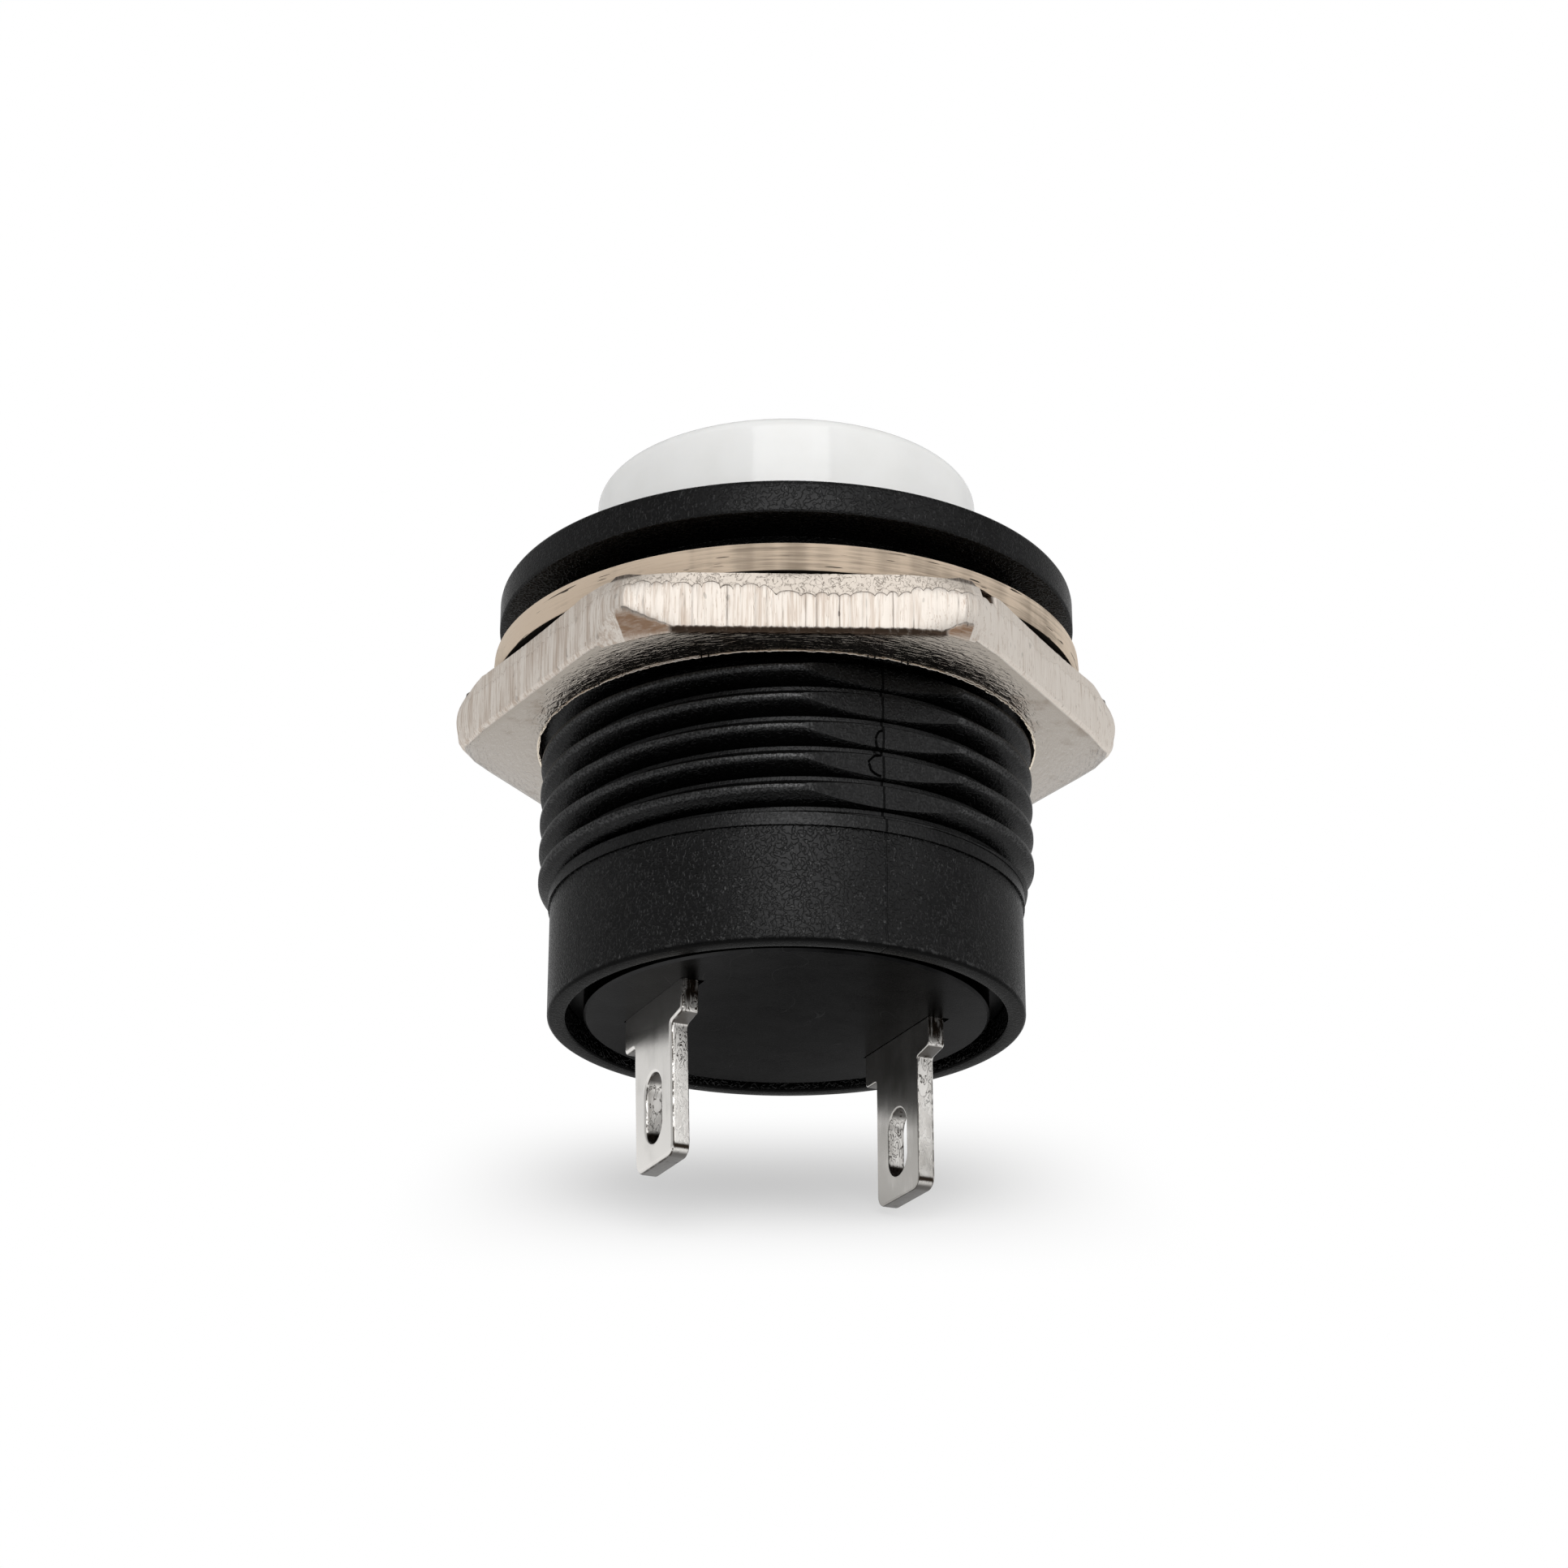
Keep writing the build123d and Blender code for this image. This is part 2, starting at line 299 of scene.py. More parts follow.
blackGrain = {
    "dark": (0.0172, 0.0172, 0.0174, 1), "light": (0.0218, 0.0218, 0.0221, 1),
    "ridge": (0.055, 0.055, 0.0555, 1), "glance": (0.58, 0.58, 0.58, 1),
    "rough": 0.23, "roughSpan": 0.09, "depth": 0.019,
    "wormScale": 7.0, "fineScale": 14.0, "cloudScale": 0.7, "speckScale": 9.0,
    "threadGrain": 0.2, "bodyGrain": 0.8, "flangeGrain": 0.6, "rimSmooth": 0.85,
    "seamAt": -0.08, "beadsAt": -0.12, "seamWander": 0.03, "seamDepth": 2.5, "beadHeight": 1.5,
    "beadLight": 0.8, "rimSpeckLight": 0.7, "speckLight": 0.5, "crestPaintedHighlight": 0.85, "landPaintedHighlight": 0.26,
    "seamShade": 0.75, "rimPaintedShade": 0.68,
}


def blackGrainFinish():
    # black all through, so only the mirror part is left, and its glancing edge is dull
    b, m = blackGrain, moulding
    finish, shader, root, place = startFinish("blackGrain", {"Metallic": 1.0, "Specular Tint": b["glance"]})
    reach, level = place.reach(), place.part("Z")
    worm = place.grain(b["wormScale"], 0.0, 0.5, 0.5)
    ridge = worm.band(0.5, 0.0, 0.1)
    fine = place.grain(b["fineScale"], 3.0, 0.6)
    cloud = place.grain(b["cloudScale"], 3.0, 0.6)
    # places on the moulding
    onBody = 1 - level.step(m["collarEnd"] - 0.03, m["collarEnd"] + 0.03)
    onFlange = level.step(-0.02, 0.02)
    onRim = 1 - level.step(m["rimLevel"] + 0.04, m["rimLevel"] + 0.15)
    onCrest = reach.step(thread["crest"] - 0.16, thread["crest"] - 0.04) * (1 - onFlange)
    onLand = reach.step(thread["flatReach"] - 0.05, thread["flatReach"]) * (1 - onBody) * (1 - onFlange)
    coarse = b["threadGrain"] + b["bodyGrain"] * onBody + b["flangeGrain"] * onFlange
    coarse = coarse * (1 - onRim * b["rimSmooth"])
    smooth = (1 - onRim) * (0.2 + 0.8 * reach.step(m["coreRadius"], m["coreRadius"] + 0.2))
    # parting line, with beads of flash beside it on the body
    turn = math.radians(m["seamTurn"])
    wander = (place.grain(3.0).step(0.2, 0.8) - 0.5) * b["seamWander"]
    across = place.along((-math.sin(turn), math.cos(turn), 0)) + wander
    seam = across.band(b["seamAt"], 0.012, 0.045) * (1 - onFlange)
    beads = across.band(b["beadsAt"], 0.02, 0.06) * place.grain(5.0).step(0.5, 0.6) * onBody
    # lighter on the grain's ridges, in specks along the rim's edge and over the body; the thread's crests and
    # cut flats are lighter as a painted highlight
    rimEdgeSpecks = level.band(m["rimLevel"] + 0.13, 0.03, 0.07) * place.grain(3.2, 1.0).step(0.58, 0.64)
    speck = place.grain(b["speckScale"], 1.0, 0.5).step(0.74, 0.78) * onBody
    # painted highlight on the thread's crests and on its cut flats
    crest = onCrest * (0.2 + 0.8 * fine.step(0.42, 0.6))
    paintedLandHighlight = onLand * fine.step(0.46, 0.58)
    light = ridge * coarse * (0.14 + 0.5 * fine.step(0.42, 0.62)) + beads * b["beadLight"]
    light = light + rimEdgeSpecks * b["rimSpeckLight"] + speck * b["speckLight"]
    light = light + crest * b["crestPaintedHighlight"] + paintedLandHighlight * b["landPaintedHighlight"]
    plain = (cloud * 0.5 + fine * 0.5).step(0.35, 0.65).tint(b["dark"], b["light"])
    # the flash curls are painted near black as their own shade; the seam is a dark line on the thread
    shade = (painted(root, "flash") + seam * (1 - onBody) * b["seamShade"]).step(0.0, 1.2)
    black = light.step(0.0, 1.0).tint(plain, b["ridge"]) * (1 - shade)
    height = ridge * 0.9 * coarse + fine * (0.45 + 0.25 * coarse) * smooth
    # the rim that faces down is painted darker: painted shade
    feed(root, shader, {
        "Base Color": black * (1 - onRim * b["rimPaintedShade"]),
        "Roughness": b["rough"] + b["roughSpan"] * (worm * 0.6 + cloud * 0.4) + seam * 0.1,
        "Normal": bumped(root, height - seam * b["seamDepth"] + beads * b["beadHeight"], b["depth"]),
    })
    return finish


def addThread(shape, mark):
    t = thread
    pitch, half, rootHalf = t["pitch"], t["crestHalf"], t["rootHalf"]
    ridge = splitLong(roundedPath([
        (rootHalf - pitch / 2, t["root"], 0),
        (-half, t["crest"], t["edge"]),
        (half, t["crest"], t["edge"]),
        (pitch / 2 - rootHalf, t["root"], 0),
    ], 3), t["longestStep"])

    def ridgeRadius(offset):
        offset = (offset + pitch / 2) % pitch - pitch / 2
        for start, end in zip(ridge, ridge[1:]):
            if start.x <= offset <= end.x:
                return start.y + (end.y - start.y) * (offset - start.x) / (end.x - start.x)
        return t["root"]

    def spot(share, offset):  # share of a turn about the axis
        level = min(max(offset + share * pitch, t["bottom"]), t["top"])
        radius = ridgeRadius(level - t["crestAt"] - share * pitch)
        radius = min(radius, t["endRadius"] + max(0, level - t["bottom"]) * t["endSlope"])
        return shape.verts.new(spotAt(radius, 2 * math.pi * share, level))

    turns = range(math.floor((t["bottom"] - t["crestAt"]) / pitch) - 2,
                  math.ceil((t["top"] - t["crestAt"]) / pitch) + 2)
    offsets = [t["crestAt"] + turn * pitch + point.x for turn in turns for point in ridge]
    count = t["columns"]
    columns = [[spot(index / count, offset) for offset in offsets] for index in range(count)]
    for index, column in enumerate(columns):
        following = columns[(index + 1) % count]
        lift = len(ridge) if index == count - 1 else 0  # the last column meets the next turn
        for row in range(len(offsets) - 1 - lift):
            shape.faces.new((column[row], following[row + lift], following[row + 1 + lift], column[row + 1]))
    inner = []
    for index in range(count):
        angle = 2 * math.pi * index / count
        inner.append([shape.verts.new(spotAt(t["inner"], angle, t[end])) for end in ("bottom", "top")])
    for index in range(count):
        other = (index + 1) % count
        low, high = inner[index]
        nextLow, nextHigh = inner[other]
        shape.faces.new((low, high, nextHigh, nextLow))
        shape.faces.new((low, nextLow, columns[other][0], columns[index][0]))
        shape.faces.new((high, columns[index][-1], columns[other][-1], nextHigh))
    bmesh.ops.remove_doubles(shape, verts=shape.verts, dist=1e-5)
    bmesh.ops.recalc_face_normals(shape, faces=shape.faces)
    addFlats(shape)
    addCurls(shape, mark)


def addFlats(shape):  # cut over the mould's parting line, on both sides
    for turn in (moulding["seamTurn"], moulding["seamTurn"] + 180):
        away = spotAt(1, math.radians(turn))
        cut = bmesh.ops.bisect_plane(shape, geom=shape.verts[:] + shape.edges[:] + shape.faces[:], dist=1e-6,
                                     plane_co=away * thread["flatReach"], plane_no=away, clear_outer=True)
        edges = [item for item in cut["geom_cut"] if isinstance(item, bmesh.types.BMEdge)]
        bmesh.ops.triangle_fill(shape, edges=edges, use_beauty=True, normal=away)


def addCurls(shape, mark):  # thin flash that curls out of the parting line
    t = thread
    away = spotAt(1, math.radians(moulding["seamTurn"]))
    aside = Vector((away.y, -away.x, 0))
    for level, radius, start, width in t["curls"]:
        curl = []
        for step in range(t["curlSteps"] + 1):
            bend = math.pi * step / t["curlSteps"]
            wobble = 1 + t["curlWobble"] * noise.noise((step * 0.7, level, 0))
            curl.append(away * t["flatReach"] + aside * (start + width * wobble * math.sin(bend))
                        + Vector((0, 0, level + radius * math.cos(bend))))
        addTube(shape, curl, t["curlWire"], 6, mark)


def buildMoulding(finish):
    shape = bmesh.new()
    addThread(shape, shape.verts.layers.float.new("flash"))
    m = moulding
    addLathe(shape, roundedPath([
        (m["boreRadius"], m["flangeTop"], m["boreEdge"]),
        (m["flangeRadius"], m["flangeTop"], m["flangeEdge"]),
        (m["flangeRadius"], 0, m["flangeUnderEdge"]),
        (m["neckRadius"], 0, 0),
        (m["neckRadius"], m["neckEnd"], 0),
        (m["coreRadius"], m["neckEnd"], 0),
        (m["coreRadius"], m["collarTop"], 0),
        (m["collarRadius"], m["collarTop"], m["collarEdge"]),
        (m["collarRadius"], m["collarEnd"], 0),
        (m["bodyRadius"], m["collarEnd"], 0),
        (m["bodyRadius"], m["rimLevel"], m["rimEdge"]),
        (m["rimInner"], m["rimLevel"], m["rimInnerEdge"]),
        (m["rimInner"], m["plateSeat"], 0),
        (m["cavityRadius"], m["plateSeat"], 0),
        (m["cavityRadius"], m["webBottom"], 0),
        (m["stemHole"], m["webBottom"], 0),
        (m["stemHole"], m["webTop"], 0),
        (m["boreRadius"], m["webTop"], 0),
    ]), m["columns"])
    piece = makePiece("housing_moulding", shape, finish, "housing", sharpAngle=30)
    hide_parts("housing")


buildMoulding(blackGrainFinish())

# Base plate: smoother black, faintly scratched
plateSatin = {
    "dark": (0.004, 0.004, 0.0042, 1), "light": (0.034, 0.034, 0.0344, 1), "glance": (0.5, 0.5, 0.5, 1),
    "rough": 0.22, "depth": 0.01, "paintedSideLightAside": (1.0, 6.5), "scratchLight": 0.03, "scratchRough": 0.25,
}


def plateSatinFinish():
    p = plateSatin
    finish, shader, root, place = startFinish("plateSatin", {"Metallic": 1.0, "Specular Tint": p["glance"]})
    cloud = place.grain(0.9, 3.0, 0.6)
    fine = place.grain(22.0, 2.0, 0.5)
    line = place.grain(0.35, 1.0, 0.4, 0.6).band(0.5, 0.0008, 0.0022)
    scratch = line * place.grain(0.5, 1.0).step(0.5, 0.6)
    # lighter towards the left and right: painted reflection, with some random cloud
    paintedSideLight = abs(place.part("X")).step(*p["paintedSideLightAside"]) * 0.8 + cloud.step(0.3, 0.7) * 0.2
    feed(root, shader, {
        "Base Color": paintedSideLight.tint(p["dark"], p["light"]) + scratch * p["scratchLight"],
        "Roughness": p["rough"] + cloud * 0.1 + fine * 0.06 + scratch * p["scratchRough"],
        "Normal": bumped(root, fine * 0.5 + cloud * 0.5 - scratch * 0.4, p["depth"]),
    })
    return finish


dress("base_plate", plateSatinFinish())

# Push cap: glossy milky white
capMilk = {
    "tint": (0.80, 0.80, 0.79, 1), "shade": (0.77, 0.77, 0.755, 1), "rough": 0.08, "depth": 0.012,
    "ior": 1.46, "scatter": 0.25, "scatterRadius": (1.0, 0.95, 0.9), "scatterDepth": 0.8,
}


def capMilkFinish():
    c = capMilk
    finish, shader, root, place = startFinish("capMilk", {
        "IOR": c["ior"], "Subsurface Weight": c["scatter"], "Subsurface Radius": c["scatterRadius"],
        "Subsurface Scale": c["scatterDepth"] * mm,
    })
    cloud = place.grain(0.5, 3.0, 0.6)
    fine = place.grain(6.0, 2.0, 0.5)
    feed(root, shader, {
        "Base Color": cloud.step(0.3, 0.7).tint(c["tint"], c["shade"]),
        "Roughness": c["rough"] + fine * 0.04,
        "Normal": bumped(root, cloud * 0.7 + fine * 0.1, c["depth"]),
    })
    return finish


dress("button_cap", capMilkFinish())

# Washer: blanked ring in warm plating, its edge dulled and scored along its run
washer = {
    "bore": 8.15, "topRadius": 9.63, "midRadius": 9.65, "lowRadius": 9.62, "top": -1.14, "bottom": -2.08,
    "edge": 0.05, "columns": 300,
}
washerPlate = {
    "tint": (0.76, 0.66, 0.55, 1), "shade": (0.44, 0.37, 0.295, 1), "score": (0.05, 0.036, 0.026, 1),
    "under": (0.012, 0.01, 0.008, 1), "rough": 0.8, "depth": 0.03, "paintedSideLightShare": 0.14,
}


def washerFinish():
    p = washerPlate
    finish, shader, root, place = startFinish("washerPlate", {"Metallic": 1.0})
    outward, reach, level = place.outward(), place.reach(), place.part("Z")
    lines = swept(root, outward * 4.0, reach * 9.0 + level * 11.0)
    coarse = lines.grain(1.0, 3.0, 0.6)
    fine = lines.grain(2.6, 2.0, 0.6)
    bands = (outward * 3.6).grain(1.0, 3.0, 0.55)
    # the bands round the ring are a painted sheen
    sheen = (outward * 11.0).grain(1.0, 2.0, 0.5)
    score = swept(root, outward * 7.0, level * 12.0 + reach * 12.0).grain(1.0, 1.0, 0.4).step(0.71, 0.74)
    # lighter at the left and right sides: painted reflection
    sideways = outward.part("X")
    paintedSideLight = (sideways * sideways).step(0.3, 0.9) * p["paintedSideLightShare"]
    plated = (coarse * 0.4 + bands * 0.3 + sheen * 0.3 + paintedSideLight).step(0.38, 0.6).tint(p["shade"], p["tint"])
    scored = (score * 0.9).tint(plated, p["score"])
    feed(root, shader, {
        # the underside is painted near black: painted shade where it lies on the nut
        "Base Color": facingDown(root, 0.7, 0.95).tint(scored, p["under"]),
        "Roughness": p["rough"] + fine * 0.14 + score * 0.1,
        "Normal": bumped(root, coarse * 0.6 + fine * 0.4 - score * 0.3, p["depth"]),
    })
    return finish


def buildWasher(finish):
    shape = bmesh.new()
    w = washer
    addLathe(shape, roundedPath([
        (w["bore"], w["top"], w["edge"]),
        (w["topRadius"], w["top"], w["edge"]),
        (w["midRadius"], (w["top"] * 2 + w["bottom"]) / 3, 0),
        (w["lowRadius"], w["bottom"], w["edge"]),
        (w["bore"], w["bottom"], w["edge"]),
    ]), w["columns"])
    piece = makePiece("washer_ring", shape, finish, "washer", sharpAngle=30)
    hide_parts("washer")


buildWasher(washerFinish())

# Panel nut: stamped hexagon, its flats burnished in columns below a broken band
nut = {
    "flat": 9.5, "corner": 0.3, "reach": 10.84, "turn": 6.5, "bottom": -4.08, "top": washer["bottom"],
    "bore": 8.08, "boreEdge": 0.05, "boreRise": 0.35, "perSide": 280, "perCorner": 8, "span": 6.5,
    "leftFlat": 3, "frontFlat": 4, "rightFlat": 5,
    "lowerCut": (10.45, 10.05, 10.42), "backCut": 10.2, "upperCut": 10.6, "bulgeFrom": 10.1, "barrel": 0.5,
    "roll": 0.3, "frontRoll": 0.14, "topDip": 0.13, "frontDip": 0.02, "dipHalf": 4.4, "topEdge": 0.02,
    "punchWidths": (0.15, 0.21, 0.28, 0.38), "punchLine": 0.03, "punchRise": 0.03,
    "lean": 0.07, "groove": 0.012, "skin": 0.012, "sideShare": 0.35,
    "scallopWidths": (0.3, 0.42, 0.6), "scallopTall": 0.035, "scallopBow": 0.09,
    "frontBreak": 0.78, "sideBreak": 0.72, "burnishRows": 9, "breakRows": 9,
    "breakDepth": 0.03, "breakNoise": 0.011,
    "nickStart": (-4.75, -4.6), "nickEnd": (-4.0, -3.8), "nickDepth": 0.22,  # in the right flat's upper edge
    "burrs": ((66, 426, 0.03, 1.0), (282, 322, 0.12, 0.8), (205, 226, 0.1, 0.7)),  # from, to, offset, share
    "burrWire": 0.02, "burrPerDegree": 2.5, "burrGap": -0.35,
}
nutLayers = ("broken", "mark", "cut")
nutPlate = {
    "tint": (0.765, 0.71, 0.65, 1), "shade": (0.545, 0.46, 0.39, 1), "broken": (0.66, 0.60, 0.535, 1),
    "mark": (0.05, 0.034, 0.024, 1), "stain": (0.17, 0.12, 0.08, 1), "face": (0.36, 0.325, 0.285, 1),
    "copper": (0.34, 0.225, 0.15, 1), "boreLipHighlight": (0.88, 0.77, 0.62, 1), "rough": 0.54, "depth": 0.03,
    "faceRough": 0.16, "faceTilt": 0.052, "faceFall": 0.2,
    "paintedHighlightWay": (0.906, -0.423, 0), "paintedHighlightFrom": (1.5, 5.0),
}


def nutFinish():
    p = nutPlate
    finish, shader, root, place = startFinish("nutPlate", {"Metallic": 1.0})
    outward, reach, level = place.outward(), place.reach(), place.part("Z")
    broken, mark, cut = (painted(root, name) for name in nutLayers)
    down = facingDown(root, 0.75, 0.9)
    onFlat = (1 - down) * (1 - broken)
    streak = (place * (3.0, 3.0, 0.3)).grain(1.0, 3.0, 0.6)
    hair = (place * (13.0, 13.0, 0.6)).grain(1.0, 2.0, 0.6)
    wrinkle = swept(root, outward * 20.0, reach * 9.0).grain(1.0, 2.0, 0.6, 0.6)
    hatch = swept(root, outward * 22.0, level * 16.0).grain(1.0, 2.0, 0.6)
    pebble = place.grain(3.4, 3.0, 0.6, 1.2)
    crack = pebble.band(0.5, 0.0, 0.02)
    cloud = place.grain(0.6, 3.0, 0.6)
    speck = (place * (5.0, 5.0, 2.2)).grain(1.0, 1.0, 0.5).step(0.7, 0.74)
    # flats: lighter to the right as a painted highlight, with thin brown draw lines below the broken band
    bright = place.along(p["paintedHighlightWay"]).step(*p["paintedHighlightFrom"]) * 0.08
    clean = (streak * 0.55 + hair * 0.45 + bright).step(0.36, 0.56).tint(p["shade"], p["tint"])
    drawn = hair.band(0.44, 0.0, 0.022) * streak.step(0.4, 0.6) * 0.7
    torn = (crack * 0.6).tint(p["broken"], p["stain"])
    plated = broken.tint(drawn.tint(clean, p["copper"]), torn)
    # lower face: painted darker than the flats as painted shade, falls away outwards, and its lip at the bore
    # is painted bright as a painted highlight
    atBore = 1 - (reach - nut["bore"]).step(0.05, 0.1)
    boreLipHighlight = atBore * (1 - level.step(nut["bottom"] + 0.05, nut["bottom"] + 0.12))
    under = (cloud.step(0.52, 0.7) * 0.5).tint(p["face"], p["stain"])
    tilt = (p["faceTilt"] + (reach - nut["bore"] - nut["boreEdge"]) * p["faceFall"]) * down
    toWorld = {"vector_type": "VECTOR", "convert_from": "OBJECT", "convert_to": "WORLD"}
    fall = root.node("VectorTransform", toWorld, {0: outward}) * tilt
    leaned = root.node("NewGeometry", out="Normal") + fall
    metal = down.tint(plated, boreLipHighlight.tint(under, p["boreLipHighlight"]))
    stained = (cut * (0.7 + hatch.step(0.35, 0.6) * 0.3)).tint(metal, p["copper"])
    dark = mark * (0.4 + hair * 0.8) + speck * onFlat * 0.3
    rough = p["rough"] + hair * 0.1 + broken * 0.02
    relief = (streak * 0.3 + hair * 0.3) * onFlat + (pebble * 0.5 - crack * 0.3) * broken
    relief = relief + hatch * cut * 0.7 + down * wrinkle * 1.1
    normal = root.node("VectorMath", {"operation": "NORMALIZE"}, {0: leaned})
    feed(root, shader, {
        "Base Color": dark.step(0.0, 1.0).tint(stained, p["mark"]),
        "Roughness": rough + down * (p["faceRough"] - rough + wrinkle * 0.08) + cut * 0.1,
        "Normal": bumped(root, relief, p["depth"], normal),
    })
    return finish


def halfFlat():  # from the middle of a flat to where its corner begins
    return (nut["flat"] - nut["corner"]) * math.tan(math.radians(30))


def hexOutline():  # (place, outward, flat number, millimetres along the flat)
    spots = []
    half = halfFlat()
    for flat in range(6):
        turn = math.radians(nut["turn"] + 60 * flat)
        away = spotAt(1, turn).xy
        along = Vector((-away.y, away.x))
        for step in range(nut["perSide"]):
            slide = half * (2 * (step + 0.5) / nut["perSide"] - 1)
            spots.append((away * nut["flat"] + along * slide, away, flat, slide))
        corner = away * (nut["flat"] - nut["corner"]) + along * half
        for step in range(nut["perCorner"]):
            share = (step + 0.5) / nut["perCorner"]
            lean = spotAt(1, turn + math.radians(60) * share).xy
            spots.append((corner + lean * nut["corner"], lean, flat, half + share * nut["corner"]))
    return spots


def splitFlat(seed, widths):  # (start, end, lean, set) of uneven stretches along one flat
    dice = random.Random(seed)
    edges = [-nut["span"]]
    while edges[-1] < nut["span"]:
        edges.append(edges[-1] + dice.choice(widths) * dice.uniform(0.8, 1.25))
    return [(start, end, dice.uniform(-1, 1), dice.uniform(0, 1)) for start, end in zip(edges, edges[1:])]


def pick(stretches, slide):
    return next(item for item in stretches if item[0] <= slide < item[1])


def breakShare(flat, slide):  # share of the height that is burnished
    if flat == nut["frontFlat"]:
        return nut["frontBreak"] - 0.15 * ease(slide, -1.0, -0.5) + 0.1 * ease(slide, 3.1, 3.8)
    return nut["sideBreak"] + 0.13 * noise.noise((slide * 0.55 + 1.0, flat * 5.3, 7.0))


def cornerKind(flat, slide):  # which lower cut is nearest: 1 front left, 2 front right, 0 the others
    end = (flat, slide < 0)
    if end in ((nut["frontFlat"], True), (nut["leftFlat"], False)):
        return 1
    return 2 if end in ((nut["frontFlat"], False), (nut["rightFlat"], True)) else 0


def buildNut(finish):
    n = nut
    shape = bmesh.new()
    layers = [shape.verts.layers.float.new(name) for name in nutLayers]
    punched = [splitFlat(flat * 11 + 5, n["punchWidths"]) for flat in range(6)]
    scallops = [splitFlat(flat * 13 + 2, n["scallopWidths"]) for flat in range(6)]
    columns = []
    for place, away, flat, slide in hexOutline():
        seed = flat * 17.3
        front = flat == n["frontFlat"]
        around = place.normalized()
        reach = min(place.length, n["reach"])
        place = around * reach
        start, end, lean, rung = pick(punched[flat], slide)
        share = (slide - start) / (end - start)
        line = max(0, 1 - min(slide - start, end - slide) / n["punchLine"])
        # levels of the lower edge, the upper edge and the break between
        corner = cornerKind(flat, slide)
        lowerCut = n["lowerCut"][corner]
        roll = n["frontRoll"] if front else n["roll"]
        if corner == 0:
            roll = max(roll, reach - n["backCut"])
        rise = max(roll, reach - lowerCut) if corner else roll
        low = n["bottom"] + rise + n["punchRise"] * (1 - math.sin(math.pi * share)) * (1 if front else 0.3)
        dip = n["frontDip"] if front else n["topDip"] * max(0, 1 - (slide / n["dipHalf"]) ** 2)
        jag = 0.02 * abs(noise.noise((slide * 3, seed, 3.0)))
        high = n["top"] - max(n["topEdge"] + dip, reach - n["upperCut"]) - jag
        first, last, tall = pick(scallops[flat], slide)[:3]
        bow = math.sqrt(max(0, 1 - (2 * (slide - first) / (last - first) - 1) ** 2))
        scallop = n["scallopTall"] * tall + n["scallopBow"] * (bow - 0.7)
        burnish = low + (high - low) * (breakShare(flat, slide) + scallop)
        slope = abs(lean) * (share if lean > 0 else 1 - share) * (end - start)
        uneven = n["skin"] * rung + n["lean"] * slope + n["groove"] * line
        sunk = n["skin"] + uneven * (1 if front else n["sideShare"])
        # a nick in the right flat's upper edge; it is cut in, and its dark mark is painted shade in the
        # hollow
        nick = 0
        if flat == n["rightFlat"]:
            nick = ease(slide, *n["nickStart"]) * (1 - ease(slide, *n["nickEnd"]))
        column = []

        def onSide(depth, level):  # the corners bulge a little at half height
            bulge = max(0, reach - n["bulgeFrom"]) * n["barrel"] * (level - (n["top"] + n["bottom"]) / 2) ** 2
            return place - away * depth - around * bulge

        def add(spot, level, *paint):  # paint for the layers, in their order
            vertex = shape.verts.new((spot.x, spot.y, level))
            for layer, value in zip(layers, paint):
                vertex[layer] = value
            column.append(vertex)

        # bore, lower face and the corner cut below the flat
        mouth = n["bore"] + n["boreEdge"]
        add(around * n["bore"], n["bottom"] + n["boreRise"])
        add(around * (n["bore"] + 0.02), n["bottom"] + 0.02, 0, 0.6)
        add(around * mouth, n["bottom"])
        faceEdge = min(lowerCut, reach - roll)
        cutDepth = min(1, max(0, reach - lowerCut - roll) / 0.1) if corner else 0
        stain = cutDepth if front or (flat == n["leftFlat"] and slide > halfFlat()) else 0
        brown = (1 - cutDepth) * (1.3 + 0.4 * noise.noise((slide * 5, seed, 1.0)) if front else 0.05)
        # marked darker towards the lower face's outer edge, at the front most
        for part, outwardDarkening in ((0.3, 0), (0.6, 0), (0.85, 0.15), (0.94, 0.7)):
            add(around * (mouth + (faceEdge - mouth) * part), n["bottom"], 0, brown * outwardDarkening)
        add(around * faceEdge, n["bottom"], 0, brown, 0.3 * stain)
        for part in (0.25, 0.5, 0.75):
            out = part * cutDepth + math.sin(part * math.pi / 2) * (1 - cutDepth)
            climb = part * cutDepth + (1 - math.cos(part * math.pi / 2)) * (1 - cutDepth)
            spot = around * faceEdge * (1 - out) + onSide(0, low) * out
            add(spot, n["bottom"] + (low - n["bottom"]) * climb, 0, brown, stain)
        # burnished columns
        add(onSide(sunk + 0.01, low), low, 0, 0.75 if front else 0.05)
        for row in range(n["burnishRows"]):
            level = low + 0.035 + (burnish - low - 0.06) * row / (n["burnishRows"] - 1)
            worn = 0.35 + noise.noise((slide * 4, level * 2.5, seed))
            add(onSide(sunk, level), level, 0, (0.7 if front else 0.15) * line * max(0, worn))
        # broken band, set back a little
        add(onSide(sunk + 0.012, burnish), burnish, 0.4, 0.9 if front else 0.1)
        for row in range(n["breakRows"]):
            part = (row + 0.3) / (n["breakRows"] - 0.7)
            level = burnish + 0.02 + (high - burnish - 0.02) * part
            rough = noise.noise((slide * 3.2, level * 4.0, seed))
            rough += 0.6 * noise.noise((slide * 7.5, level * 8.0, seed))
            torn = nick * ease(part, 0.0, 0.35)
            depth = (n["breakDepth"] + n["breakNoise"] * (rough + 0.8) * 0.6) * (1 if front else 0.4)
            add(onSide(depth + n["nickDepth"] * torn, level), level, 1.0 if front else 0.3, 2.0 * torn)
